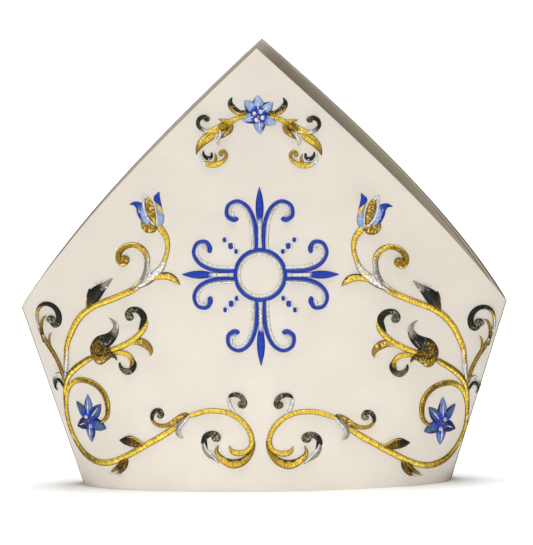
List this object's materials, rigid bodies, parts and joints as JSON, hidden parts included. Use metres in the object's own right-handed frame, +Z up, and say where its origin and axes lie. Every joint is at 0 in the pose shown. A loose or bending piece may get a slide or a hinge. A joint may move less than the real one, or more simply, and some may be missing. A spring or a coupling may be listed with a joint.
{
  "type": "bishop mitre",
  "caption": "Bishop's mitre of cream satin: two stiff pointed panels, a gusset folded between their peaks, and raised floral embroidery round a cross on the front.",
  "frame": {"origin": "middle of the rim's plane, which the mitre stands on", "axes": "+Z up to the peaks, -Y out of the embroidered front, X across from corner to corner"},
  "size_m": [0.316, 0.1161, 0.286],
  "materials": {
    "cream_satin": "cream woven satin with a soft sheen, over a stiffener",
    "taupe_satin": "plain taupe satin",
    "gold_thread": "gold metal thread laid in satin stitch",
    "silver_thread": "silver metal thread laid in satin stitch",
    "dark_thread": "near-black green thread in satin stitch",
    "blue_cord": "royal blue satin stitch over a cord",
    "blue_thread": "light to dark blue silk thread",
    "crystal": "small clear glass stones"
  },
  "bodies": {
    "root": {"front_panel": "cream_satin", "back_panel": "cream_satin", "gusset": "taupe_satin", "centre_cross": "blue_cord", "top_flower": "blue_thread", "flower_left": "blue_thread", "flower_right": "blue_thread", "tulip_left": "blue_thread", "tulip_right": "blue_thread", "top_spray_left": "gold_thread", "top_spray_right": "gold_thread", "top_crescent_left": "gold_thread", "top_crescent_right": "gold_thread", "vine_left": "gold_thread", "vine_right": "gold_thread"}
  },
  "joints": []
}
